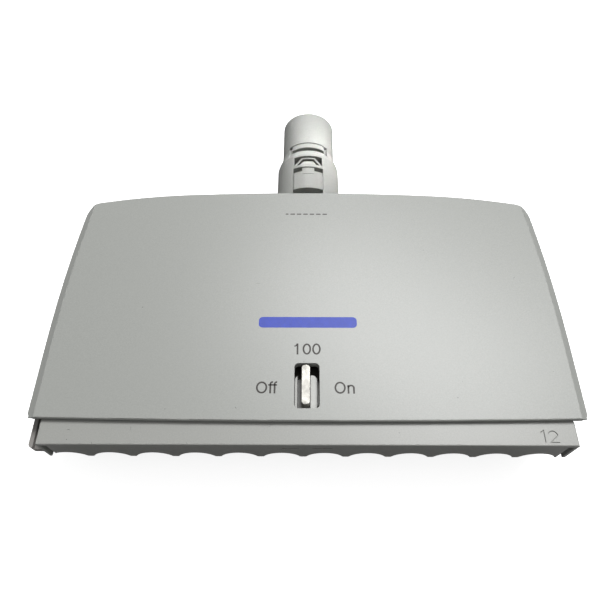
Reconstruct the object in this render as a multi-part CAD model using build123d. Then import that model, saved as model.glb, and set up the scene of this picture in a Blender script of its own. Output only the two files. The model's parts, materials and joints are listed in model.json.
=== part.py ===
from build123d import *
import os

# Lower part of a twelve-channel pipette.  All sizes are in millimetres.
# The pieces are drawn upright: X runs along the row of channels, Z points up the
# neck, the front of the housing faces -Y and the channel axes lie in the plane Y = 0.
# Before they are written they are laid on their back by LAY_DOWN, so that the stored
# frame has +Z out of the front cover and +Y up the neck.

# ------------------------------------------------------------- driving dimensions
CHANNELS = 12
PITCH = 9.0                # standard spacing of the channels
ROW_SHIFT = -0.9           # the row sits this far to the left of the housing's middle

# travel of the moving pieces
STROKE = 11.0              # pistons
EJECT_TRAVEL = 6.0
SWITCH_TRAVEL = 1.6        # to each side of where it is drawn, at most
LATCH_TRAVEL = 2.2

# housing
HALF_WIDTH = 57.6
FRONT_Y = -10.9
BACK_Y = 10.7
STRAIGHT_Z = 22.0          # the sides are straight up to here, then lean inward
SHOULDER = (55.4, 60.9)    # where the side would meet the top edge
CROWN_HALF = 29.5          # the middle of the top edge is a flatter arc
CROWN_SAG = 0.7
TOP_Z = 64.95
CORNER_R = 4.4
FRONT_LOW_CORNER_R = 0.7
REAR_LOW_CORNER_R = 2.5
BOTTOM_BOW = 0.6           # the lower edge rises this much towards its ends
BEVEL_X = 1.75             # flat bevel along each side of the front face
BEVEL_Y = 1.1
FACE_EDGE_R = 0.2
BACK_EDGE = 1.5
SEAM = 0.2                 # small chamfer along the joint of the two covers
FRONT_WALL = 1.8
SIDE_WALL = 1.5
BACK_WALL = 1.8
INNER_FRONT_Y = FRONT_Y + FRONT_WALL
INNER_BACK_Y = BACK_Y - BACK_WALL
LIP_Z = 4.65               # lower edge of the front cover, a thin lip in front of the strip
LIP_WALL = 0.85
LIP_STEP = 0.55            # behind the lip the cover ends this much higher, clear of the strip
LIP_BACK_Y = -8.0
LIP_BAND_TOP = 6.6
SKIRT_Z = 12.8             # lower edge of the side and rear walls
BEYOND = 1.0               # how far a cutting shape runs past what it cuts

# opening for the switch
SLOT_X = -0.15
SLOT_HALF = 2.66
SLOT_Z = (7.3, 17.4)
SLOT_R = 0.95

# neck
NECK_STEM_R = 7.2
NECK_COLLAR_R = 8.5
NECK_TUBE_R = 7.25
NECK_BORE_R = 5.75         # socket at the top of the neck
NECK_BORE_LENGTH = 10.0
NECK_INNER_R = 6.3
NECK_FOOT_Z = 61.2
NECK_FLANGE_TOP = 63.2
NECK_COLLAR_Z = 65.2
NECK_SHOULDER_Z = 81.0
NECK_TUBE_Z = 85.4
NECK_TOP_Z = 98.6

# front openings of the neck: half width and heights
CLIP_WINDOW = (5.2, (82.8, 86.6))
CHEVRON_WINDOW = (3.76, (77.3, 80.3))
LATCH_WINDOW = (4.0, (60.2, 76.4))
LATCH_Z = (69.0, 74.85)
LATCH_TAB = (1.65, 76.05)  # half width and top of the thumb tab
LATCH_KEY_HALF = 4.45
LUG_HALF = 4.4             # lug that hangs in the upper opening
LUG_Z = (84.85, 86.45)

# ejector strip seen below the housing
STRIP_HALF = 54.7
STRIP_FRONT_Y = -9.6
STRIP_WALL = 1.1
STRIP_Z = 5.0
STRIP_BOW = 0.45
STRIP_CORNER_R = 0.6
STRIP_FLOOR = 1.4
SCALLOP_R = 4.1
CUSP_Y = -1.4
CUSP_R = 0.45
END_POCKET = (52.8, 54.05) # slot through the floor beside each end wall
LEFT_POCKET_BACK_Y = -2.4  # the right one runs through to the back
ENGRAVED_LINE = 0.16       # width of the strokes of the channel number

# channels
CONE_TIP_Z = 1.8
CONE_NECK_Z = 13.0
CONE_BODY_R = 3.8
CONE_TOP_Z = 27.2
CHAMBER_R = 2.05
PISTON_R = 1.75
PISTON_HEAD_R = 2.4
PISTON_HEAD_Z = 50.5
PISTON_LOW_Z = CONE_NECK_Z + 1.2 + STROKE
SEAL_DEPTH = 1.5
RUNNING_GAP = 0.05         # radial clearance of each sliding rod

BLOCK_Z = (21.5, 26.0)
BLOCK_Y = (-4.4, 8.6)
BLOCK_HALF = 54.9

BAR_Z = (49.0, 52.0)
BAR_Y = (-3.6, 8.5)
BAR_HALF = 53.5
CLAMP_TOP_Z = 53.2

# guide rods and springs
GUIDE_X = 27.0
GUIDE_Y = 6.3
GUIDE_R = 1.25
BUSH_R = 1.9
EJECT_ROD_X = 36.0
EJECT_ROD_Y = -5.8
EJECT_ROD_R = 0.9
LEDGE_Z = (44.5, 46.0)
CROSSHEAD_LOW_Z = LEDGE_Z[1] + EJECT_TRAVEL + 6.2
CROSSHEAD_Z = (CROSSHEAD_LOW_Z, CROSSHEAD_LOW_Z + 1.5)
GUIDE_TOP_Z = 56.4

# cover screws
UPPER_SCREW = (50.0, 57.0)
LOWER_SCREW = (45.0, 33.0)
SCREW_R = 1.0
SCREW_HEAD_R = 1.9
SCREW_HEAD_Y = (BACK_Y - 2.4, BACK_Y - 1.1)
BOSS_R = 2.4

CENTRES = [(index - (CHANNELS - 1) / 2) * PITCH + ROW_SHIFT for index in range(CHANNELS)]
LAY_DOWN = Pos(0, -NECK_TOP_Z / 2, BACK_Y) * Rot(-90, 0, 0)


# ------------------------------------------------------------------------ helpers
def save(shape, node):
    export_step(LAY_DOWN * shape, f"parts/{node}.step")


def block(x, y, z):
    """A box given by its (low, high) extents along each axis."""
    size = [high - low for low, high in (x, y, z)]
    middle = [(low + high) / 2 for low, high in (x, y, z)]
    return Pos(*middle) * Box(*size)


def rod(radius, z, x=0.0, y=0.0):
    """An upright cylinder between the two heights in z."""
    return Pos(x, y, (z[0] + z[1]) / 2) * Cylinder(radius, z[1] - z[0])


def rod_y(radius, y, x, z):
    """A cylinder that runs from front to back."""
    return Pos(x, (y[0] + y[1]) / 2, z) * Rot(90, 0, 0) * Cylinder(radius, y[1] - y[0])


def ring(inner, outer, z, x=0.0, y=0.0):
    return rod(outer, z, x, y) - rod(inner, (z[0] - BEYOND, z[1] + BEYOND), x, y)


def slab(sketch, y):
    """Extrudes a front-view sketch between two depths."""
    return extrude(Pos(0, y[1], 0) * (Plane.XZ * sketch), amount=y[1] - y[0])


def turned(points):
    """Revolves an outline of (radius, height) points about the upright axis."""
    outline = make_face(Polyline(*[(r, 0, z) for r, z in points], close=True))
    return revolve(outline, Axis.Z)


def row_of(make):
    """One copy of a channel's piece or hole for each channel."""
    return [make(x) for x in CENTRES]


def coil(radius, wire_r, z, pitch, x, y):
    path = Helix(pitch=pitch, height=z[1] - z[0] - 2 * wire_r, radius=radius)
    start = path @ 0
    section = Plane(origin=start, z_dir=path % 0) * Circle(wire_r)
    return Pos(x, y, z[0] + wire_r) * sweep(section, path=path, is_frenet=True)


# ------------------------------------------------------------------------ housing
def side_line(half):
    """Side of the front view: straight at first, then leaning inward."""
    return TangentArc((half, STRAIGHT_Z), (half - HALF_WIDTH + SHOULDER[0], SHOULDER[1]), tangent=(0, 1))


def housing_outline(inset, bottom, low_corner_r=FRONT_LOW_CORNER_R):
    """Front view of the housing, moved inward by inset."""
    half = HALF_WIDTH - inset
    crown_z = TOP_Z - CROWN_SAG - inset
    crown = ThreePointArc((CROWN_HALF, crown_z), (0, TOP_Z - inset), (-CROWN_HALF, crown_z))
    slope = (crown % 0) * -1
    shoulder = (SHOULDER[0] - inset, SHOULDER[1] - inset)
    crown_end = TangentArc((CROWN_HALF, crown_z), shoulder, tangent=(slope.X, slope.Y))
    side = TangentArc((half, STRAIGHT_Z), shoulder, tangent=(0, 1))
    low = (half, bottom + BOTTOM_BOW)
    outline = make_face([
        ThreePointArc((-low[0], low[1]), (0, bottom), low),
        Line(low, (half, STRAIGHT_Z)),
        side,
        crown_end,
        crown,
        mirror(crown_end, Plane.YZ),
        mirror(side, Plane.YZ),
        Line((-half, STRAIGHT_Z), (-low[0], low[1])),
    ])
    corners = outline.vertices().sort_by(Axis.Y)
    upper = [vertex for vertex in corners if abs(vertex.X) > CROWN_HALF + 1][-2:]
    outline = fillet(upper, CORNER_R - inset)
    lower = [vertex for vertex in outline.vertices() if vertex.Y < bottom + BOTTOM_BOW + 0.1]
    return fillet(lower, low_corner_r)


def bevelled_body():
    """A body wider than the corners, whose front face is bevelled along its two sides only."""
    half = HALF_WIDTH
    far_z = TOP_Z + 5
    lean = TangentArc((half, STRAIGHT_Z), SHOULDER, tangent=(0, 1))
    direction = lean % 1
    reach = (far_z - SHOULDER[1]) / direction.Y
    far = (SHOULDER[0] + reach * direction.X, far_z)
    onward = Line(SHOULDER, far)
    outline = make_face([
        Line((-half, 0), (half, 0)),
        Line((half, 0), (half, STRAIGHT_Z)),
        lean,
        onward,
        Line(far, (-far[0], far_z)),
        mirror(onward, Plane.YZ),
        mirror(lean, Plane.YZ),
        Line((-half, STRAIGHT_Z), (-half, 0)),
    ])
    body = slab(outline, (FRONT_Y, BEYOND))
    face = body.faces().sort_by(Axis.Y)[0]
    sides = [edge for edge in face.edges() if abs(edge.center().X) > CROWN_HALF]
    return chamfer(sides, BEVEL_X, BEVEL_Y, reference=face)


def screw_places():
    """Cover screws: two near the top corners, and two lower down between the pistons."""
    upper = [(side * UPPER_SCREW[0], UPPER_SCREW[1]) for side in (-1, 1)]
    lower = [(side * LOWER_SCREW[0] + ROW_SHIFT, LOWER_SCREW[1]) for side in (-1, 1)]
    return upper + lower


def neck_opening():
    return rod(NECK_STEM_R, (NECK_FLANGE_TOP - BEYOND, TOP_Z + BEYOND))


def front_cover():
    shell = slab(housing_outline(0, LIP_Z), (FRONT_Y, FRONT_Y + LIP_WALL))
    shell += slab(housing_outline(0, LIP_Z + LIP_STEP), (FRONT_Y + LIP_WALL, 0))
    shell = chamfer(shell.faces().sort_by(Axis.Y)[-1].edges(), SEAM)
    shell = shell & bevelled_body()
    shell = fillet(shell.faces().sort_by(Axis.Y)[0].edges(), FACE_EDGE_R)
    shell -= slab(housing_outline(SIDE_WALL, SKIRT_Z - 2), (INNER_FRONT_Y, BEYOND))
    wide = (-HALF_WIDTH - BEYOND, HALF_WIDTH + BEYOND)
    shell -= block(wide, (LIP_BACK_Y, BEYOND), (0, SKIRT_Z))
    shell -= block(wide, (INNER_FRONT_Y, LIP_BACK_Y), (LIP_BAND_TOP, SKIRT_Z))
    slot = Pos(SLOT_X, sum(SLOT_Z) / 2) * RectangleRounded(2 * SLOT_HALF, SLOT_Z[1] - SLOT_Z[0], SLOT_R)
    shell -= slab(slot, (FRONT_Y - BEYOND, INNER_FRONT_Y + BEYOND))
    shell -= neck_opening()
    for x, z in screw_places():
        shell += rod_y(BOSS_R, (INNER_FRONT_Y, 0), x, z)
        shell -= rod_y(SCREW_R, (INNER_FRONT_Y + 1.5, BEYOND), x, z)
    for side in (-1, 1):
        ledge = block(
            (side * EJECT_ROD_X - 3, side * EJECT_ROD_X + 3), (INNER_FRONT_Y, BAR_Y[0] - 0.4), LEDGE_Z
        )
        hole = rod(EJECT_ROD_R + RUNNING_GAP, (40, 50), side * EJECT_ROD_X, EJECT_ROD_Y)
        shell += ledge - hole
    return shell


def rear_cover():
    shell = slab(housing_outline(0, SKIRT_Z - BOTTOM_BOW, REAR_LOW_CORNER_R), (0, BACK_Y))
    by_depth = shell.faces().sort_by(Axis.Y)
    shell = chamfer(by_depth[-1].edges(), BACK_EDGE)
    shell = chamfer(shell.faces().sort_by(Axis.Y)[0].edges(), SEAM)
    shell -= slab(housing_outline(SIDE_WALL, SKIRT_Z - 2), (-BEYOND, INNER_BACK_Y))
    shell -= neck_opening()
    for side in (-1, 1):
        x = side * GUIDE_X
        shelf = block((x - 3, x + 3), (GUIDE_Y - 2.4, INNER_BACK_Y), (GUIDE_TOP_Z - 1.4, GUIDE_TOP_Z + 0.6))
        shell += shelf - rod(GUIDE_R, (50, GUIDE_TOP_Z), x, GUIDE_Y)
    for x, z in screw_places():
        shell += rod_y(BOSS_R, (0, INNER_BACK_Y), x, z)
        shell -= rod_y(SCREW_R, (-BEYOND, BACK_Y + BEYOND), x, z)
        shell -= rod_y(SCREW_HEAD_R, (SCREW_HEAD_Y[0], BACK_Y + BEYOND), x, z)
    return shell


def cover_screws():
    """Cross-headed screws that hold the covers together from the back."""
    recess = (0.5, 2.6)
    screws = Part()
    for x, z in screw_places():
        screw = rod_y(SCREW_HEAD_R, SCREW_HEAD_Y, x, z)
        screw += rod_y(SCREW_R, (INNER_FRONT_Y + 2.5, SCREW_HEAD_Y[0] + 0.1), x, z)
        for width, height in (recess, recess[::-1]):
            screw -= Pos(x, SCREW_HEAD_Y[1], z) * Box(width, 1.0, height)
        screws += screw
    return screws


# --------------------------------------------------------------------------- neck
def neck_segment(inner, outer, half, z):
    """Piece of a tube wall at the front of the neck, as wide as half on each side."""
    return ring(inner, outer, z) & block((-half, half), (-NECK_COLLAR_R - BEYOND, 0), z)


def neck_sleeve():
    """Collar, shoulder and tube turned in one piece, with a snap flange under the housing top."""
    flange_r = NECK_STEM_R + 1.6
    socket_z = NECK_TOP_Z - NECK_BORE_LENGTH
    shell = turned([
        (NECK_INNER_R, NECK_FOOT_Z),
        (flange_r, NECK_FOOT_Z),
        (flange_r, NECK_FLANGE_TOP),
        (NECK_STEM_R, NECK_FLANGE_TOP),
        (NECK_STEM_R, NECK_COLLAR_Z),
        (NECK_COLLAR_R - 0.5, NECK_COLLAR_Z + 0.35),
        (NECK_COLLAR_R, NECK_COLLAR_Z + 1.5),
        (NECK_COLLAR_R, NECK_SHOULDER_Z),
        (NECK_COLLAR_R - 0.3, NECK_SHOULDER_Z + 1.2),
        (NECK_TUBE_R + 0.25, NECK_TUBE_Z - 1.1),
        (NECK_TUBE_R, NECK_TUBE_Z),
        (NECK_TUBE_R, NECK_TOP_Z - 0.4),
        (NECK_TUBE_R - 0.4, NECK_TOP_Z),
        (NECK_BORE_R, NECK_TOP_Z),
        (NECK_BORE_R, socket_z),
        (NECK_INNER_R, socket_z),
    ])
    collar_foot = ring(NECK_STEM_R, NECK_COLLAR_R, (TOP_Z, NECK_COLLAR_Z + 3))
    shell += collar_foot & block((3.0, 9.0), (-4.0, 9.0), (TOP_Z, NECK_COLLAR_Z + 3))
    front = (-NECK_COLLAR_R - BEYOND, -NECK_INNER_R + 1.8)
    for half, z in (CLIP_WINDOW, CHEVRON_WINDOW, LATCH_WINDOW):
        shell -= block((-half, half), front, z)
    groove_z = (LATCH_Z[0] - LATCH_TRAVEL - 0.8, LATCH_Z[1] + 0.3)
    shell -= neck_segment(NECK_INNER_R - BEYOND, 7.35, LATCH_KEY_HALF + 0.2, groove_z)
    notch_z = (CLIP_WINDOW[1][0] - 0.5, CLIP_WINDOW[1][0] + 0.5)
    for notch in ((-CLIP_WINDOW[0], -4.45), (4.45, CLIP_WINDOW[0])):
        shell -= block(notch, front, notch_z)
    shell += neck_segment(NECK_INNER_R, 7.15, LUG_HALF, LUG_Z)
    shell += neck_segment(NECK_INNER_R, 6.85, LUG_HALF, (LUG_Z[1], CLIP_WINDOW[1][1]))
    return shell + ring(5.0, NECK_INNER_R, (64.0, NECK_COLLAR_Z))


def neck_latch():
    """Tongue that slides in the front of the collar, with a thumb tab above it."""
    skin_r = (7.45, NECK_COLLAR_R - 0.05)
    tab_half, tab_top = LATCH_TAB
    skin_half = LATCH_WINDOW[0] - 0.12
    latch = neck_segment(*skin_r, skin_half, LATCH_Z)
    latch += neck_segment(*skin_r, tab_half, (LATCH_Z[1], tab_top))
    latch += neck_segment(6.45, 7.25, LATCH_KEY_HALF, LATCH_Z)
    latch += neck_segment(7.2, 7.5, skin_half, LATCH_Z)
    rest_line = neck_segment(NECK_COLLAR_R - 0.15, NECK_COLLAR_R, tab_half, (73.8, 73.95))
    return latch - rest_line


def chevron(half, foot_z, knee_z, top_half, top_z):
    points = [(-half, foot_z), (-half, knee_z), (-top_half, top_z)]
    points += [(-x, z) for x, z in reversed(points)]
    return slab(make_face(Polyline(*points, close=True)), (-NECK_COLLAR_R, -3))


def neck_clip():
    """Snap clip inside the neck, with a chevron that shows in the middle opening."""
    foot_z = CHEVRON_WINDOW[1][0] + 0.05
    rim_z = (foot_z, CHEVRON_WINDOW[1][1])
    rim = chevron(3.7, foot_z, 77.75, 1.8, 79.9) - chevron(3.05, foot_z - 1, 77.7, 1.5, 79.5)
    clip = rim & ring(NECK_INNER_R, 8.15, rim_z)
    clip += chevron(2.45, foot_z, foot_z + 0.1, 1.35, 78.85) & ring(NECK_INNER_R, 7.95, rim_z)
    clip += chevron(3.7, foot_z, 77.75, 1.8, 79.9) & ring(NECK_INNER_R - 0.1, 7.2, rim_z)
    return clip + neck_segment(5.9, NECK_INNER_R - 0.05, 2.6, (foot_z, 82.0))


def coupling_ring():
    """Ring inside the neck that lets the head swivel under its handle."""
    inner, wall, bead, collar = 4.9, 5.4, 5.75, 6.05
    body = ring(inner, wall, (66.0, 87.6))
    body += ring(inner, collar, (86.7, 87.6))
    body += ring(inner, collar, (66.0, 67.2))
    for z in (82.4, 79.6, 76.2, 71.0):
        body += ring(inner, bead, (z, z + 1.0))
    return body


# ----------------------------------------------------------------- fluid channels
RING_GROOVE = (1.9, (3.6, 4.4))     # floor radius and heights of the seal groove near the tip


def nose_cone(x):
    """Tapered tip seat with the cylinder above it, turned in one piece."""
    flange_r = CONE_BODY_R + 0.4
    shape = turned([
        (0.5, CONE_TIP_Z),
        (2.0, CONE_TIP_Z),
        (2.45, 10.0),
        (2.6, 10.4),
        (2.6, CONE_NECK_Z),
        (CONE_BODY_R, CONE_NECK_Z + 1.2),
        (CONE_BODY_R, BLOCK_Z[1]),
        (flange_r, BLOCK_Z[1]),
        (flange_r, CONE_TOP_Z),
        (3.0, CONE_TOP_Z),
        (3.0, CONE_TOP_Z - SEAL_DEPTH),
        (CHAMBER_R, CONE_TOP_Z - SEAL_DEPTH),
        (CHAMBER_R, CONE_NECK_Z + 0.8),
        (0.5, CONE_NECK_Z),
    ])
    floor_r, z = RING_GROOVE
    return Pos(x, 0, 0) * (shape - ring(floor_r, 3.0, z))


def tip_ring(x):
    floor_r, z = RING_GROOVE
    return ring(floor_r, 2.35, z, x)


def piston_seal(x):
    return ring(PISTON_R + RUNNING_GAP, 3.0, (CONE_TOP_Z - SEAL_DEPTH, CONE_TOP_Z), x)


def piston(x):
    shank = rod(PISTON_R, (PISTON_LOW_Z, PISTON_HEAD_Z), x)
    return shank + rod(PISTON_HEAD_R, (PISTON_HEAD_Z, BAR_Z[1]), x)


def cylinder_block():
    """Plate that carries the cones, with a cheek at each end that closes the housing."""
    plate = block((-BLOCK_HALF, BLOCK_HALF), BLOCK_Y, BLOCK_Z)
    for hole in row_of(lambda x: rod(CONE_BODY_R, (20, 30), x)):
        plate -= hole
    spring_foot = 31.0
    for side in (-1, 1):
        x = side * GUIDE_X
        plate += rod(2.0, (BLOCK_Z[1], spring_foot), x, GUIDE_Y)
        plate -= rod(GUIDE_R, (23.0, spring_foot + BEYOND), x, GUIDE_Y)
        cheek = sorted((side * BLOCK_HALF, side * (HALF_WIDTH - SIDE_WALL - 0.1)))
        plate += block(cheek, (-6.6, 6.6), (SKIRT_Z - 0.2, BLOCK_Z[1]))
    return plate


def seal_retainer():
    plate = block((-54, 54), (-4.2, 4.2), (CONE_TOP_Z, 29.2))
    for hole in row_of(lambda x: rod(CHAMBER_R, (20, 30), x)):
        plate -= hole
    return plate


def guide_rod(side):
    return rod(GUIDE_R, (23.0, GUIDE_TOP_Z), side * GUIDE_X, GUIDE_Y)


def end_guide():
    """Blade beside the left end of the strip, stepped back where the strip passes."""
    z = (0.2, SKIRT_Z)
    blade = block((-57.4, -56.5), (-6.6, -4.0), z)
    corner = blade.edges().filter_by(Axis.Y).sort_by(Axis.Z)[:2].sort_by(Axis.X)[0]
    return fillet(corner, 0.8) + block((-56.5, -55.05), (-5.4, -4.0), (z[0], z[1] - 0.2))


# ----------------------------------------------------------------- piston carriage
def piston_bar():
    bar = block((-BAR_HALF, BAR_HALF), BAR_Y, BAR_Z)
    for x in CENTRES:
        bar -= rod(PISTON_R, (48, 54), x) + rod(PISTON_HEAD_R, (PISTON_HEAD_Z, 54), x)
    for side in (-1, 1):
        bar -= rod(BUSH_R, (48, 54), side * GUIDE_X, GUIDE_Y)
    return bar


def guide_bush(side):
    return ring(GUIDE_R + RUNNING_GAP, BUSH_R, (BAR_Z[0], CLAMP_TOP_Z), side * GUIDE_X, GUIDE_Y)


def guide_bushes():
    return Part() + [guide_bush(side) for side in (-1, 1)]


CLAMP_SCREW_X = [side * x for side in (-1, 1) for x in (9.0, 27.0, 45.0)]


def clamp_plate():
    """Plate over the piston heads that holds them in the bar."""
    plate = block((-BAR_HALF, BAR_HALF), (BAR_Y[0], 3.6), (BAR_Z[1], CLAMP_TOP_Z))
    for x in CLAMP_SCREW_X:
        plate -= rod(1.0, (BAR_Z[1] - BEYOND, CLAMP_TOP_Z + BEYOND), x)
    return plate


def clamp_screws():
    screws = Part()
    for x in CLAMP_SCREW_X:
        screw = rod(0.95, (BAR_Z[1], CLAMP_TOP_Z), x) + rod(1.7, (CLAMP_TOP_Z, CLAMP_TOP_Z + 1.0), x)
        screws += screw - Pos(x, 0, CLAMP_TOP_Z + 1.0) * Box(2.4, 0.5, 0.8)
    return screws


PUSH_ROD_TOP = 84.0


def push_rod():
    foot_z = CLAMP_TOP_Z + 1.4
    return rod(3.0, (CLAMP_TOP_Z, foot_z)) + rod(2.5, (foot_z, PUSH_ROD_TOP))


def push_rod_cap():
    cap = rod(3.1, (PUSH_ROD_TOP, PUSH_ROD_TOP + 2.0))
    return fillet(cap.edges().sort_by(Axis.Z)[-1], 0.8)


def return_spring(side):
    return coil(1.6, 0.22, (31.0, BAR_Z[0]), 1.8, side * GUIDE_X, GUIDE_Y)


# ------------------------------------------------------------------------- ejector
def engraved_number():
    """The channel count, in thin strokes at the right end of the strip."""
    low, high = 0.75, 3.25
    one = Polyline((47.25, high - 0.5), (47.95, high), (47.95, low))
    bowl = RadiusArc((48.8, high - 0.7), (50.65, high - 1.05), 0.98)
    two = [bowl, Polyline(bowl @ 1, (49.0, low), (50.8, low))]
    return trace([one] + two, ENGRAVED_LINE)


def ejector_strip():
    """Front wall, end walls and the scalloped floor that shows below the housing."""
    back_y = STRIP_FRONT_Y + STRIP_WALL
    end_z = STRIP_Z + STRIP_BOW
    outer = make_face([
        Line((-STRIP_HALF, 0), (STRIP_HALF, 0)),
        Line((STRIP_HALF, 0), (STRIP_HALF, end_z)),
        ThreePointArc((STRIP_HALF, end_z), (0, STRIP_Z), (-STRIP_HALF, end_z)),
        Line((-STRIP_HALF, end_z), (-STRIP_HALF, 0)),
    ])
    outer = fillet(outer.vertices().sort_by(Axis.Y)[-2:], STRIP_CORNER_R)
    strip = slab(outer, (STRIP_FRONT_Y, CUSP_Y))
    within = STRIP_HALF - STRIP_WALL
    strip -= block((-within, within), (back_y, 0), (STRIP_FLOOR, end_z + BEYOND))
    for hole in row_of(lambda x: rod(SCALLOP_R, (-BEYOND, STRIP_FLOOR + BEYOND), x)):
        strip -= hole
    for side, pocket_back_y in ((-1, LEFT_POCKET_BACK_Y), (1, 0)):
        pocket = sorted(side * x for x in END_POCKET)
        strip -= block(pocket, (back_y, pocket_back_y), (-BEYOND, STRIP_FLOOR + BEYOND))
    cusps = [
        edge for edge in strip.edges().filter_by(Axis.Z)
        if abs(edge.center().Y - CUSP_Y) < 0.01 and abs(edge.center().X) < END_POCKET[0] - 1
    ]
    strip = fillet(cusps, CUSP_R)
    strip = fillet(strip.faces().sort_by(Axis.Y)[0].edges(), 0.25)
    for x in ((-5.2, -1.7), (1.0, 5.1)):
        strip -= block(x, (-7.5, -7.15), (-BEYOND, 1.0))
    return strip - slab(engraved_number(), (STRIP_FRONT_Y - BEYOND, STRIP_FRONT_Y + 0.2))


COMB_Z = (8.0, 9.2)
COMB_HALF = STRIP_HALF - 0.05


def ejector_comb():
    """Plate that presses on the tips, with skirts that run up inside the housing."""
    skirt_top = 12.5
    plate = block((-COMB_HALF, COMB_HALF), (-7.7, 7.9), COMB_Z)
    for hole in row_of(lambda x: rod(2.85, (7, 10), x)):
        plate -= hole
    front_half = COMB_HALF - 1.1
    comb = plate + block((-front_half, front_half), (-7.7, -6.9), (STRIP_FLOOR, skirt_top))
    comb += block((-COMB_HALF, COMB_HALF), (6.9, 7.9), (5.5, skirt_top))
    comb -= block((-4.5, 4.5), (-8, -5.8), (6.5, skirt_top + BEYOND))
    for side in (-1, 1):
        cheek = sorted((side * (COMB_HALF - 1.0), side * COMB_HALF))
        comb += block(cheek, (-7.7, 7.9), (STRIP_Z + STRIP_BOW + 0.05, COMB_Z[1]))
    return comb


def ejector_rod(side):
    return rod(EJECT_ROD_R, (COMB_Z[1], CROSSHEAD_Z[0]), side * EJECT_ROD_X, EJECT_ROD_Y)


def ejector_crosshead():
    return block((-39, 39), (-8.6, -5.0), CROSSHEAD_Z) - rod(4.8, (50, 60))


EJECT_TUBE_FOOT_Z = CROSSHEAD_Z[1] + 1.2


def ejector_tube():
    """Tube round the push rod that brings the ejector's movement down the neck."""
    foot_z = (CROSSHEAD_Z[1], EJECT_TUBE_FOOT_Z)
    foot = block((-4, 4), (-8.4, 0), foot_z) + rod(5.6, foot_z)
    return foot + rod(4.3, (EJECT_TUBE_FOOT_Z, 83.0)) - rod(3.3, (50, 90))


def ejector_screws():
    z = (EJECT_TUBE_FOOT_Z, EJECT_TUBE_FOOT_Z + 0.8)
    return Part() + [rod(0.9, z, x, -6.9) for x in (-2.6, 2.6)]


def ejector_spring(side):
    z = (LEDGE_Z[1], CROSSHEAD_Z[0])
    return coil(1.28, 0.2, z, 1.4, side * EJECT_ROD_X, EJECT_ROD_Y)


# -------------------------------------------------------------------------- switch
TONGUE_HALF = 9.0
RAIL_HALF = TONGUE_HALF + SWITCH_TRAVEL + 3.4


def switch_rail():
    """Grooved rail below the cylinder block that guides the switch slide."""
    groove_half = RAIL_HALF - 1.7
    rail = block((-RAIL_HALF, RAIL_HALF), (-6.6, -4.0), (15.4, BLOCK_Z[0]))
    rail += block((-RAIL_HALF, RAIL_HALF), (-6.6, BLOCK_Y[0]), BLOCK_Z)
    return rail - block((-groove_half, groove_half), (-6.15, -5.05), (15.0, 18.2))


def switch_slide():
    """Grooved block seen in the slot, on a tongue that runs in the rail."""
    x = (-2.72, 2.0)
    z = (7.0, 15.4)
    outline = Pos(sum(x) / 2, sum(z) / 2) * Rectangle(x[1] - x[0], z[1] - z[0])
    outline = fillet(outline.vertices().sort_by(Axis.Y)[-2:], 1.1)
    body = slab(outline, (-8.9, -6.0))
    body -= block((-2.2, 0.6), (-9.5, -8.0), (z[0] - BEYOND, z[1] + BEYOND))
    body -= block((-2.2, -1.4), (-9.5, -6.6), (z[0] - BEYOND, z[1] + BEYOND))
    return body + block((-TONGUE_HALF, TONGUE_HALF), (-6.05, -5.15), (9.6, 17.9))


def switch_bar():
    """Plated metal finger bar with rounded ends."""
    z = (8.2, 17.2)
    outline = Pos(-0.4, sum(z) / 2) * RectangleRounded(1.88, z[1] - z[0], 0.8)
    bar = slab(outline, (-10.7, -8.0))
    return fillet(bar.faces().sort_by(Axis.Y)[0].edges(), 0.15)


# --------------------------------------------------------------------------- write
def main():
    os.makedirs("parts", exist_ok=True)
    single = [
        front_cover, rear_cover, cover_screws, neck_sleeve, neck_latch, neck_clip, coupling_ring,
        cylinder_block, seal_retainer, end_guide, piston_bar, guide_bushes, clamp_plate,
        clamp_screws, push_rod, push_rod_cap, ejector_strip, ejector_comb, ejector_crosshead,
        ejector_tube, ejector_screws, switch_rail, switch_slide, switch_bar,
    ]
    for make in single:
        save(make(), make.__name__)
    for number, x in enumerate(CENTRES, start=1):
        save(nose_cone(x), f"nose_cone_{number:02d}")
        save(piston(x), f"piston_{number:02d}")
    save(Part() + row_of(tip_ring), "tip_rings")
    save(Part() + row_of(piston_seal), "piston_seals")
    for name, side in (("left", -1), ("right", 1)):
        save(guide_rod(side), f"guide_rod_{name}")
        save(return_spring(side), f"return_spring_{name}")
        save(ejector_rod(side), f"ejector_rod_{name}")
        save(ejector_spring(side), f"ejector_spring_{name}")


main()
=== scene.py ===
import json
import math

import bmesh
import bpy
from mathutils import Euler, Matrix, Vector


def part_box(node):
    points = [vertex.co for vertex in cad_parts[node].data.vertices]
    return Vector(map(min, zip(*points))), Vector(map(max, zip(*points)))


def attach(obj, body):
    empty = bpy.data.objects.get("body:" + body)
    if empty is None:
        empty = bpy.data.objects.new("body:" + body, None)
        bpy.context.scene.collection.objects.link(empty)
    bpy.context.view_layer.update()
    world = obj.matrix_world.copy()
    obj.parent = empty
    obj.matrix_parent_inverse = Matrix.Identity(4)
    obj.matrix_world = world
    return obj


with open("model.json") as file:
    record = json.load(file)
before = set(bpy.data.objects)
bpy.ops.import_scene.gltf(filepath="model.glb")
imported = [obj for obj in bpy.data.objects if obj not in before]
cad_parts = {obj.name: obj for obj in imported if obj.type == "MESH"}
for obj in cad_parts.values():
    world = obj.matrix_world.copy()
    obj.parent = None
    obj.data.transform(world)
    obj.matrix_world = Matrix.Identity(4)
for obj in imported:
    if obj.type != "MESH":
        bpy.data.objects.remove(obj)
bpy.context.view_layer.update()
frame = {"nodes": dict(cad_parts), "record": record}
nodes = frame["nodes"]

MM = 0.001

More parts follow.
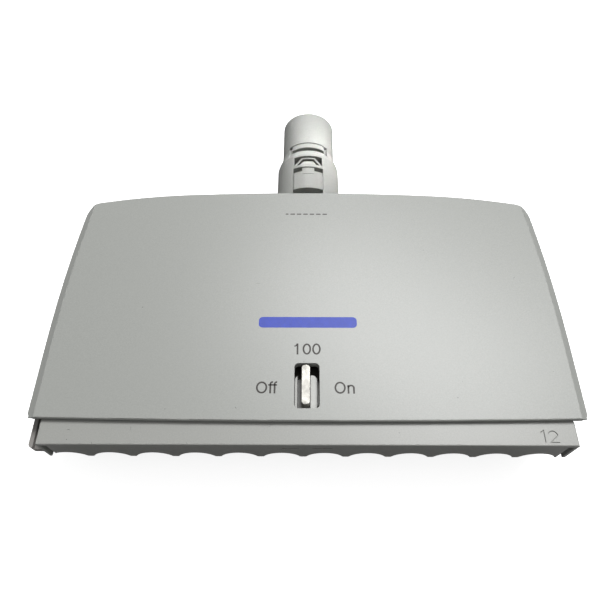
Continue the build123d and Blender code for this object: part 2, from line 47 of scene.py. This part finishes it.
# ------------------------------------------------------------------ camera and light
CAMERA_PLACE = Vector((-0.2, -82.7, 133.7)) * MM
CAMERA_TILT = 30.47          # degrees between the optical axis and straight down
CAMERA_ROLL = 0.2            # degrees
LENS = 34.0                  # focal length in millimetres
SENSOR = 36.0                # width of the picture behind the lens, in millimetres
FRAME_SHIFT = -0.0066        # sideways shift of the picture, as a part of its width
CLIP = (0.005, 20.0)         # nearest and farthest distance drawn, in metres

KEY_PLACE = (0.162, 0.322, 0.746)   # a long soft box behind the head, on its right
KEY_TARGET = (0.025, -0.016, 0.0216)
KEY_SIZE = (0.23, 0.50)
KEY_TURN = 78.0                     # degrees about the direction it shines in
KEY_POWER = 5.3
OVERHEAD_PLACE = (0.5, 0.1, 1.2)    # a broad weak fill above the bench
OVERHEAD_TARGET = (0.0, 0.0, 0.0)
OVERHEAD_SIZE = (1.2, 1.2)
OVERHEAD_POWER = 2.0
NECK_LIGHT_PLACE = (0.072, 0.080, 0.124)   # a small lamp that only reaches the neck
NECK_LIGHT_TARGET = (0.002, 0.036, 0.012)
NECK_LIGHT_SIZE = (0.02, 0.02)
NECK_LIGHT_SPREAD = 16.0            # degrees
NECK_LIGHT_POWER = 0.0026
AMBIENT = 0.25                      # strength of the white surroundings as a light
BACKDROP = 0.93                     # their strength where the camera looks at them

WHITE = (1.0, 1.0, 1.0, 1.0)
FLOOR_HALF = 3.0
FLOOR_PAPER = (0.95, 0.95, 0.95, 1.0)   # what the camera sees
FLOOR_BOUNCE = (0.2, 0.2, 0.2, 1.0)     # what other rays meet, so that little light comes back up
FLOOR_GLOW = 0.8                        # keeps the paper pale where the object shades it


def add_camera():
    """A camera above the tip end that looks down and along the head."""
    data = bpy.data.cameras.new("camera")
    data.lens = LENS
    data.sensor_width = SENSOR
    data.shift_x = FRAME_SHIFT
    data.clip_start, data.clip_end = CLIP
    camera = bpy.data.objects.new("camera", data)
    camera.location = CAMERA_PLACE
    tilt = Euler((math.radians(CAMERA_TILT), 0, 0)).to_matrix()
    roll = Matrix.Rotation(math.radians(CAMERA_ROLL), 3, "Z")
    camera.rotation_euler = (tilt @ roll).to_euler()
    bpy.context.collection.objects.link(camera)
    bpy.context.scene.camera = camera


def area_light(name, place, target, size, power, turn=0.0, spread=180.0, glossy=True):
    """A rectangular lamp aimed at target; turn and spread are in degrees."""
    data = bpy.data.lights.new(name, "AREA")
    data.shape = "RECTANGLE"
    data.size, data.size_y = size
    data.energy = power
    data.spread = math.radians(spread)
    light = bpy.data.objects.new(name, data)
    light.visible_glossy = glossy
    light.location = place
    aim = Vector(target) - Vector(place)
    facing = aim.to_track_quat("-Z", "Y").to_matrix()
    light.rotation_euler = (facing @ Matrix.Rotation(math.radians(turn), 3, "Z")).to_euler()
    bpy.context.collection.objects.link(light)


def add_lamps():
    area_light("key", KEY_PLACE, KEY_TARGET, KEY_SIZE, KEY_POWER, KEY_TURN)
    area_light("overhead", OVERHEAD_PLACE, OVERHEAD_TARGET, OVERHEAD_SIZE, OVERHEAD_POWER)
    area_light(
        "neck", NECK_LIGHT_PLACE, NECK_LIGHT_TARGET, NECK_LIGHT_SIZE, NECK_LIGHT_POWER,
        spread=NECK_LIGHT_SPREAD, glossy=False,
    )


def add_surroundings():
    """A white studio all round, brighter to the camera than as a light."""
    world = bpy.data.worlds.new("studio")
    world.use_nodes = True
    background = world.node_tree.nodes["Background"]
    background.inputs["Color"].default_value = WHITE
    rays = world.node_tree.nodes.new("ShaderNodeLightPath")
    strength = world.node_tree.nodes.new("ShaderNodeMapRange")
    strength.inputs["To Min"].default_value = AMBIENT
    strength.inputs["To Max"].default_value = BACKDROP
    world.node_tree.links.new(rays.outputs["Is Camera Ray"], strength.inputs["Value"])
    world.node_tree.links.new(strength.outputs["Result"], background.inputs["Strength"])
    scene = bpy.context.scene
    scene.world = world
    scene.view_settings.view_transform = "Standard"
    scene.view_settings.look = "None"


def add_floor():
    """A wide sheet of pale paper under the object."""
    mesh = bpy.data.meshes.new("floor")
    half = FLOOR_HALF
    corners = [(-half, -half, 0), (half, -half, 0), (half, half, 0), (-half, half, 0)]
    mesh.from_pydata(corners, [], [(0, 1, 2, 3)])
    floor = bpy.data.objects.new("floor", mesh)
    bpy.context.collection.objects.link(floor)
    mesh.materials.append(floor_material())


# -------------------------------------------------------------------- material nodes
NOISE_SPAN = (0.3, 0.7)      # most of a noise's values lie between these
EDGE_SAMPLES = 4
CREASE_SAMPLES = 8


def linear(value):
    """Turns a 0-255 display value into linear light."""
    value /= 255
    return value / 12.92 if value <= 0.04045 else ((value + 0.055) / 1.055) ** 2.4


def colour(red, green, blue):
    """A material colour from 0-255 display values."""
    return (linear(red), linear(green), linear(blue), 1.0)


def shade(base, factor):
    """The same colour darker or lighter."""
    return tuple(min(1.0, channel * factor) for channel in base[:3]) + (1.0,)


class Tree:
    """A few short calls for building a material's node tree."""

    def __init__(self, name):
        self.material = bpy.data.materials.new(name)
        self.material.use_nodes = True
        self.nodes = self.material.node_tree.nodes
        self.links = self.material.node_tree.links
        self.shader = self.nodes["Principled BSDF"]
        self.coords = self.nodes.new("ShaderNodeTexCoord").outputs["Object"]

    def set(self, socket, value):
        """Gives a shader socket one even value."""
        self.shader.inputs[socket].default_value = value

    def join(self, source, socket):
        """Feeds a shader socket from an earlier output."""
        self.links.new(source, self.shader.inputs[socket])

    def stretched(self, scale, turn=(0, 0, 0)):
        """Object coordinates scaled along each axis, for brushed or scratched finishes."""
        mapping = self.nodes.new("ShaderNodeMapping")
        mapping.inputs["Scale"].default_value = scale
        mapping.inputs["Rotation"].default_value = [math.radians(angle) for angle in turn]
        self.links.new(self.coords, mapping.inputs["Vector"])
        return mapping.outputs["Vector"]

    def noise(self, scale, detail=2.0, vector=None, roughness=0.5):
        """Smooth noise, with scale blotches to the metre."""
        node = self.nodes.new("ShaderNodeTexNoise")
        node.inputs["Scale"].default_value = scale
        node.inputs["Detail"].default_value = detail
        node.inputs["Roughness"].default_value = roughness
        self.links.new(vector or self.coords, node.inputs["Vector"])
        return node.outputs["Fac"]

    def scatter(self, scale):
        """Distance to the nearest point of an uneven scatter."""
        node = self.nodes.new("ShaderNodeTexVoronoi")
        node.inputs["Scale"].default_value = scale
        self.links.new(self.coords, node.inputs["Vector"])
        return node.outputs["Distance"]

    def ramp(self, source, low, high, start=0.0, end=1.0):
        """Maps source from low..high to start..end, held inside that range."""
        node = self.nodes.new("ShaderNodeMapRange")
        node.inputs["From Min"].default_value = low
        node.inputs["From Max"].default_value = high
        node.inputs["To Min"].default_value = start
        node.inputs["To Max"].default_value = end
        self.links.new(source, node.inputs["Value"])
        return node.outputs["Result"]

    def times(self, first, second):
        """One output multiplied by another, or by a number."""
        node = self.nodes.new("ShaderNodeMath")
        node.operation = "MULTIPLY"
        self.links.new(first, node.inputs[0])
        if isinstance(second, float):
            node.inputs[1].default_value = second
        else:
            self.links.new(second, node.inputs[1])
        return node.outputs["Value"]

    def mix(self, factor, first, second):
        """Mixes two colours, either of which may be an earlier output."""
        node = self.nodes.new("ShaderNodeMix")
        node.data_type = "RGBA"
        self.links.new(factor, node.inputs["Factor"])
        for socket, value in (("A", first), ("B", second)):
            if isinstance(value, tuple):
                node.inputs[socket].default_value = value
            else:
                self.links.new(value, node.inputs[socket])
        return node.outputs["Result"]

    def bump(self, height, strength, distance, normal=None):
        """Normals tilted by a height, on top of an earlier set of normals."""
        node = self.nodes.new("ShaderNodeBump")
        node.inputs["Strength"].default_value = strength
        node.inputs["Distance"].default_value = distance
        self.links.new(height, node.inputs["Height"])
        if normal is not None:
            self.links.new(normal, node.inputs["Normal"])
        return node.outputs["Normal"]

    def soft_edges(self, radius):
        """Normals that look as if every sharp edge were slightly rounded."""
        node = self.nodes.new("ShaderNodeBevel")
        node.samples = EDGE_SAMPLES
        node.inputs["Radius"].default_value = radius
        return node.outputs["Normal"]

    def creases(self, distance):
        """0 in narrow gaps and corners, 1 on open surfaces."""
        node = self.nodes.new("ShaderNodeAmbientOcclusion")
        node.samples = CREASE_SAMPLES
        node.inputs["Distance"].default_value = distance
        return node.outputs["AO"]


def floor_material():
    """Matt paper that glows a little to the camera only."""
    tree = Tree("floor_paper")
    tree.set("Roughness", 0.9)
    camera_ray = tree.nodes.new("ShaderNodeLightPath").outputs["Is Camera Ray"]
    tree.join(tree.mix(camera_ray, FLOOR_BOUNCE, FLOOR_PAPER), "Base Color")
    tree.set("Emission Color", WHITE)
    tree.join(tree.times(camera_ray, FLOOR_GLOW), "Emission Strength")
    return tree.material


def moulded_plastic(name, base, texture=0.8, crease_shade=0.35):
    """Spark-eroded mould finish: fine sparkling grain, a few tiny specks, soft edges and painted shade
    darkening narrow creases.
    """
    gloss = 0.35
    speckle = 0.11
    tree = Tree(name)
    grain = tree.noise(3600.0, 3.0, roughness=0.65)
    dust = tree.noise(9000.0, 1.0)
    cloud = tree.noise(60.0, 2.0)
    strong = tree.mix(tree.ramp(grain, *NOISE_SPAN), shade(base, 1 - speckle), shade(base, 1 + speckle))
    faint = tree.mix(tree.ramp(dust, *NOISE_SPAN), shade(base, 0.985), shade(base, 1.015))
    body = tree.mix(tree.ramp(cloud, 0.4, 0.6, 0.3, 0.5), strong, faint)
    dots = tree.ramp(tree.scatter(420.0), 0.05, 0.09, 0.7, 0.0)
    where_dots_show = tree.ramp(tree.noise(210.0, 1.0), 0.70, 0.72)
    specked = tree.mix(tree.times(dots, where_dots_show), body, shade(base, 0.5))
    # painted shade: narrow creases and corners darken towards a third of the base colour
    crease_shade_mask = tree.ramp(tree.creases(0.7 * MM), 0.15, 0.75, crease_shade, 0.0)
    tree.join(tree.mix(crease_shade_mask, specked, shade(base, 0.3)), "Base Color")
    tree.join(tree.ramp(dust, *NOISE_SPAN, gloss - 0.05, gloss + 0.05), "Roughness")
    tree.join(tree.bump(grain, texture, 0.012 * MM, tree.soft_edges(0.1 * MM)), "Normal")
    return tree.material


def satin_plastic(name, base, gloss=0.4, glow=0.0, crease_shade=0.5, reach=1.0 * MM):
    """Smoother plastic with faint flow marks, and painted shade that darkens the gaps narrower than reach.
    """
    tree = Tree(name)
    flow = tree.noise(90.0, 3.0, tree.stretched((1.0, 4.0, 1.0)))
    grain = tree.noise(2600.0, 2.0)
    body = tree.mix(tree.ramp(flow, 0.35, 0.65), shade(base, 0.95), shade(base, 1.03))
    # painted shade: gaps narrower than reach darken towards a fifth of the base colour
    crease_shade_mask = tree.ramp(tree.creases(reach), 0.1, 0.8, crease_shade, 0.0)
    tree.join(tree.mix(crease_shade_mask, body, shade(base, 0.2)), "Base Color")
    tree.join(tree.ramp(grain, *NOISE_SPAN, gloss - 0.05, gloss + 0.05), "Roughness")
    tree.join(tree.bump(grain, 0.12, 0.01 * MM, tree.soft_edges(0.1 * MM)), "Normal")
    if glow:
        tree.set("Subsurface Weight", glow)
        tree.set("Subsurface Radius", (1.0, 0.95, 0.85))
        tree.set("Subsurface Scale", 0.6 * MM)
    return tree.material


def brushed_metal(name, base, along, gloss=0.3, lines=0.2):
    """Ground or drawn metal: fine lines stretched by along, with uneven gloss."""
    tree = Tree(name)
    tree.set("Metallic", 1.0)
    streaks = tree.noise(2400.0, 4.0, tree.stretched(along), roughness=0.7)
    patches = tree.noise(180.0, 3.0)
    tree.join(tree.mix(tree.ramp(streaks, *NOISE_SPAN), shade(base, 0.9), shade(base, 1.06)), "Base Color")
    tree.join(tree.ramp(patches, *NOISE_SPAN, gloss - 0.06, gloss + 0.08), "Roughness")
    tree.join(tree.bump(streaks, lines, 0.004 * MM, tree.soft_edges(0.08 * MM)), "Normal")
    return tree.material


def worn_nickel(name, base):
    """Dull plated metal with pitting, and scratches that lean across its lower end."""
    tree = Tree(name)
    tree.set("Metallic", 1.0)
    pits = tree.noise(5200.0, 3.0, roughness=0.65)
    clouds = tree.noise(900.0, 2.0)
    leaning = tree.noise(2600.0, 2.0, tree.stretched((1.0, 0.07, 1.0), (0, 0, 38)))
    scratches = tree.ramp(leaning, 0.62, 0.68)
    place = tree.nodes.new("ShaderNodeSeparateXYZ")
    tree.links.new(tree.coords, place.inputs["Vector"])
    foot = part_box("switch_bar")[0][1]
    near_foot = tree.ramp(place.outputs["Y"], foot + 0.6 * MM, foot + 3.0 * MM, 1.0, 0.12)
    marks = tree.times(scratches, near_foot)
    body = tree.mix(tree.ramp(pits, *NOISE_SPAN), shade(base, 0.78), shade(base, 1.12))
    tree.join(tree.mix(marks, body, shade(base, 0.5)), "Base Color")
    tree.join(tree.ramp(clouds, *NOISE_SPAN, 0.42, 0.58), "Roughness")
    dents = tree.bump(pits, 0.25, 0.006 * MM, tree.soft_edges(0.12 * MM))
    tree.join(tree.bump(marks, 0.4, 0.01 * MM, dents), "Normal")
    return tree.material


def seal_rubber(name, base):
    """Dusty black rubber."""
    tree = Tree(name)
    dust = tree.noise(1500.0, 3.0)
    tree.join(tree.mix(tree.ramp(dust, 0.45, 0.75), base, shade(base, 1.9)), "Base Color")
    tree.join(tree.ramp(dust, *NOISE_SPAN, 0.55, 0.75), "Roughness")
    tree.join(tree.bump(dust, 0.2, 0.01 * MM), "Normal")
    return tree.material


def printed_ink(name, base, thin):
    """Pad-printed ink, thinner by the given part where the grain of the plastic shows through."""
    tree = Tree(name)
    grain = tree.noise(3200.0, 3.0, roughness=0.6)
    patchy = tree.noise(700.0, 2.0)
    cover = tree.mix(tree.ramp(grain, 0.35, 0.75), base, shade(base, 1 + 2 * thin))
    tree.join(tree.mix(tree.ramp(patchy, *NOISE_SPAN), cover, shade(base, 1 - thin / 2)), "Base Color")
    tree.join(tree.ramp(grain, *NOISE_SPAN, 0.42, 0.58), "Roughness")
    return tree.material


ACROSS = (0.04, 1.0, 1.0)    # lines along X
UPWARD = (1.0, 0.04, 1.0)    # lines along Y
AROUND = (1.0, 30.0, 1.0)    # turned rings about Y
EVENLY = (1.0, 1.0, 1.0)     # no direction

# A slot's darkening of narrow gaps, and its reach, is painted shade in creases.
SLOTS = {
    "cover_grey": moulded_plastic("cover_grey", colour(168, 170, 166)),
    "trim_grey": moulded_plastic("trim_grey", colour(168, 169, 165), texture=0.55, crease_shade=0.12),
    "inner_grey": satin_plastic("inner_grey", colour(112, 112, 110)),
    "light_plastic": satin_plastic(
        "light_plastic", colour(214, 215, 211), glow=0.15, crease_shade=0.9, reach=1.8 * MM,
    ),
    "nickel": worn_nickel("nickel", (0.415, 0.407, 0.378, 1)),
    "steel": brushed_metal("steel", (0.60, 0.60, 0.62, 1), UPWARD),
    "screw_steel": brushed_metal("screw_steel", (0.52, 0.52, 0.54, 1), EVENLY, 0.34),
    "aluminium": brushed_metal("aluminium", (0.75, 0.76, 0.78, 1), ACROSS, 0.38, 0.3),
    "seal_black": seal_rubber("seal_black", (0.02, 0.02, 0.022, 1)),
    "piston_steel": brushed_metal("piston_steel", (0.8, 0.8, 0.82, 1), AROUND, 0.14, 0.06),
    "bush_plastic": satin_plastic("bush_plastic", colour(226, 218, 196)),
    "dark_plastic": satin_plastic("dark_plastic", colour(58, 56, 52), gloss=0.5),
    "clip_grey": satin_plastic("clip_grey", colour(178, 179, 174), crease_shade=0.95, reach=2.2 * MM),
    # a darker, browner copy of the housing grey: painted shade for the guide tab set back under the
    # housing
    "guide_grey": satin_plastic("guide_grey", colour(150, 147, 144), gloss=0.45, crease_shade=0.1),
}
GREY_INK = printed_ink("grey_ink", colour(50, 45, 41), 0.25)
BLUE_INK = printed_ink("blue_ink", colour(52, 74, 186), 0.12)
SCUFF = printed_ink("scuff", colour(96, 98, 94), 0.3)


def finish_nodes():
    """Gives each CAD piece the material of its slot in the record."""
    for part in frame["record"]["subparts"]:
        holder = nodes[part["node"]]
        material = SLOTS[part["material_slot"]]
        holder.data.materials.clear()
        holder.data.materials.append(material)


# ---------------------------------------------------------------------------- prints
FRONT_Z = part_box("front_cover")[1][2]      # the face of the front cover
TIP_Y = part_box("ejector_strip")[0][1]      # bottom of the strip, from which heights are taken
INK_PROUD = 0.012 * MM

# The measures below are millimetres on the cover.
STROKE = 0.37                # width of the printed lines
CAP = 2.62                   # height of the figures and capitals
OVERSHOOT = 0.03             # a round figure stands this much past the flat ones
NOUGHT_WIDTH = 1.84
CAPITAL_O_WIDTH = 2.36
ONE_STEM = 0.68              # the stem's place in the width of a one
ONE_FLAG = ((0.0, 1.98), (0.36, 2.08), (0.62, CAP - 0.06))
ONE_FLAG_STROKE = STROKE * 0.8
F_STEM = 0.48
F_TOP = CAP + 0.02
F_HOOK = (0.42, 0.44)        # radii of the hook
F_HOOK_DROP = 0.56           # centre of the hook below the top
F_BAR = 0.98                 # length of the crossbar
F_BAR_HEIGHT = 1.88
F_BAR_STROKE = STROKE * 0.85
N_WIDTH = 1.52
N_HEIGHT = 1.9
N_ARCH_CENTRE = 1.26         # height of the arch's centre
N_ARCH_RISE = 0.56
BLUE_BAR = (21.8, 2.7, 0.9)  # width, height and corner radius
DASHES = (0.7, 1.1, 1.1, 1.1, 1.1, 1.1, 1.1)
DASH_GAP = 0.5
DASH_STROKE = 0.3


def arc(centre, radii, start, end, steps=28):
    """Points on an ellipse between two angles in degrees."""
    points = []
    for step in range(steps + 1):
        angle = math.radians(start + (end - start) * step / steps)
        points.append((centre[0] + radii[0] * math.cos(angle), centre[1] + radii[1] * math.sin(angle)))
    return points


def ribbon(bm, points, width, closed=False):
    """Adds a flat line of even width along the points."""
    count = len(points)
    pairs = []
    for index, (x, y) in enumerate(points):
        before = points[index - 1] if index or closed else points[index]
        after = points[(index + 1) % count] if index < count - 1 or closed else points[index]
        along = Vector((after[0] - before[0], after[1] - before[1])).normalized()
        side = Vector((-along.y, along.x)) * width / 2
        left = bm.verts.new((x + side.x, y + side.y, 0))
        right = bm.verts.new((x - side.x, y - side.y, 0))
        pairs.append((left, right))
    last = count if closed else count - 1
    for index in range(last):
        (left, right), (next_left, next_right) = pairs[index], pairs[(index + 1) % count]
        bm.faces.new((right, next_right, next_left, left))


def round_figure(bm, x, width):
    """An O or a nought of the given width."""
    centre = (x + width / 2, CAP / 2)
    radii = (width / 2 - STROKE / 2, CAP / 2 - STROKE / 2 + OVERSHOOT)
    ribbon(bm, arc(centre, radii, 0, 360)[:-1], STROKE, closed=True)


def letter_f(bm, x):
    stem = x + F_STEM
    hook = arc((stem + F_HOOK[0], F_TOP - F_HOOK_DROP), F_HOOK, 180, 78, 10)
    ribbon(bm, [(stem, 0.0)] + hook, STROKE)
    ribbon(bm, [(x, F_BAR_HEIGHT), (x + F_BAR, F_BAR_HEIGHT)], F_BAR_STROKE)


def letter_n(bm, x):
    left = x + STROKE / 2
    right = x + N_WIDTH - STROKE / 2
    ribbon(bm, [(left, 0.0), (left, N_HEIGHT)], STROKE)
    arch = arc(((left + right) / 2, N_ARCH_CENTRE), ((right - left) / 2, N_ARCH_RISE), 170, 0, 14)
    ribbon(bm, arch + [(right, 0.0)], STROKE)


def figure_one(bm, x):
    stem = x + ONE_STEM
    ribbon(bm, [(stem, 0.0), (stem, CAP)], STROKE)
    ribbon(bm, [(x + across, up) for across, up in ONE_FLAG], ONE_FLAG_STROKE)


def draw_bar(bm):
    """A bar with round corners, centred on its own place."""
    width, height, radius = BLUE_BAR
    points = []
    corners = ((1, 1, 0), (-1, 1, 90), (-1, -1, 180), (1, -1, 270))
    for across, up, start in corners:
        centre = (across * (width / 2 - radius), up * (height / 2 - radius))
        points += arc(centre, (radius, radius), start, start + 90, 6)
    bm.faces.new([bm.verts.new((x, y, 0)) for x, y in points])


def printed(name, draw, x, height, material, surface=FRONT_Z, body="housing"):
    """Draws flat marks in millimetres and lays them on a surface, at x and height above the tips."""
    bm = bmesh.new()
    draw(bm)
    bmesh.ops.scale(bm, vec=(MM, MM, MM), verts=bm.verts)
    bmesh.ops.translate(bm, vec=(x * MM, TIP_Y + height * MM, surface + INK_PROUD), verts=bm.verts)
    mesh = bpy.data.meshes.new(name)
    bm.to_mesh(mesh)
    bm.free()
    mesh.materials.append(material)
    piece = bpy.data.objects.new(name, mesh)
    bpy.context.collection.objects.link(piece)
    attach(piece, body)


def draw_hundred(bm):
    figure_one(bm, 0.0)
    round_figure(bm, 1.78, NOUGHT_WIDTH)
    round_figure(bm, 3.86, NOUGHT_WIDTH)


def draw_off(bm):
    round_figure(bm, 0.0, CAPITAL_O_WIDTH)
    letter_f(bm, 2.52)
    letter_f(bm, 3.42)


def draw_on(bm):
    round_figure(bm, 0.0, CAPITAL_O_WIDTH)
    letter_n(bm, 2.72)


def draw_dashes(bm):
    """Neutral dashes where a number plate would be."""
    x = 0.0
    for width in DASHES:
        ribbon(bm, [(x, 0.0), (x + width, 0.0)], DASH_STROKE)
        x += width + DASH_GAP


def add_prints():
    """Lays each print on the cover, at x and at a height above the tips."""
    printed("print_hundred", draw_hundred, -2.9, 19.42, GREY_INK)
    printed("print_off", draw_off, -10.8, 10.5, GREY_INK)
    printed("print_on", draw_on, 5.6, 10.5, GREY_INK)
    printed("print_bar", draw_bar, 0.0, 27.3, BLUE_INK)
    printed("print_dashes", draw_dashes, -5.6, 58.0, GREY_INK)


# ------------------------------------------------------------------------- wear marks
SLIVER_STEPS = 5
BLUNTNESS = 0.1              # how far along its taper a scratch begins and ends

# Stray fibres, nicks and scratches: x, height, length, width, angle and bend.
COVER_MARKS = (
    (-11.0, 37.5, 1.1, 0.05, 172, 12),
    (-29.3, 7.0, 0.22, 0.16, 30, 0),
    (-14.8, 7.6, 0.5, 0.1, 250, 60),
    (-37.5, 31.0, 0.3, 0.14, 20, 0),
    (31.0, 9.7, 0.22, 0.2, 0, 0),
    (48.0, 39.2, 0.3, 0.12, 60, 0),
    (27.5, 47.0, 0.5, 0.05, 15, 10),
)
STRIP_MARKS = (
    (-48.9, 3.0, 0.75, 0.1, 35, -40),
    (-48.6, 1.0, 0.2, 0.14, 10, 0),
    (-43.2, 0.05, 0.6, 0.08, 118, 0),
    (-36.0, 2.9, 1.0, 0.06, 80, 12),
    (-24.1, 0.1, 0.45, 0.1, 100, 30),
    (18.5, 2.6, 0.25, 0.12, 0, 0),
    (-8.0, 3.8, 0.6, 0.05, 20, 0),
)


def sliver(bm, x, y, length, width, angle, bend):
    """A short scratch that starts at x, y and tapers to both ends."""
    left, right = [], []
    for step in range(SLIVER_STEPS + 1):
        part = step / SLIVER_STEPS
        heading = math.radians(angle + bend * part)
        middle_x = x + length * part * math.cos(heading)
        middle_y = y + length * part * math.sin(heading)
        half = width / 2 * math.sin(math.pi * (BLUNTNESS + (1 - 2 * BLUNTNESS) * part))
        aside_x = -math.sin(heading) * half
        aside_y = math.cos(heading) * half
        left.append(bm.verts.new((middle_x + aside_x, middle_y + aside_y, 0)))
        right.append(bm.verts.new((middle_x - aside_x, middle_y - aside_y, 0)))
    for step in range(SLIVER_STEPS):
        bm.faces.new((right[step], right[step + 1], left[step + 1], left[step]))


def draw_cover_marks(bm):
    for mark in COVER_MARKS:
        sliver(bm, *mark)


def draw_strip_marks(bm):
    for mark in STRIP_MARKS:
        sliver(bm, *mark)


def add_wear():
    strip_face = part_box("ejector_strip")[1][2]
    printed("cover_scuffs", draw_cover_marks, 0.0, 0.0, SCUFF)
    printed("strip_scuffs", draw_strip_marks, 0.0, 0.0, SCUFF, strip_face, "ejector")


add_camera()
add_lamps()
add_surroundings()
add_floor()
finish_nodes()
add_prints()
add_wear()
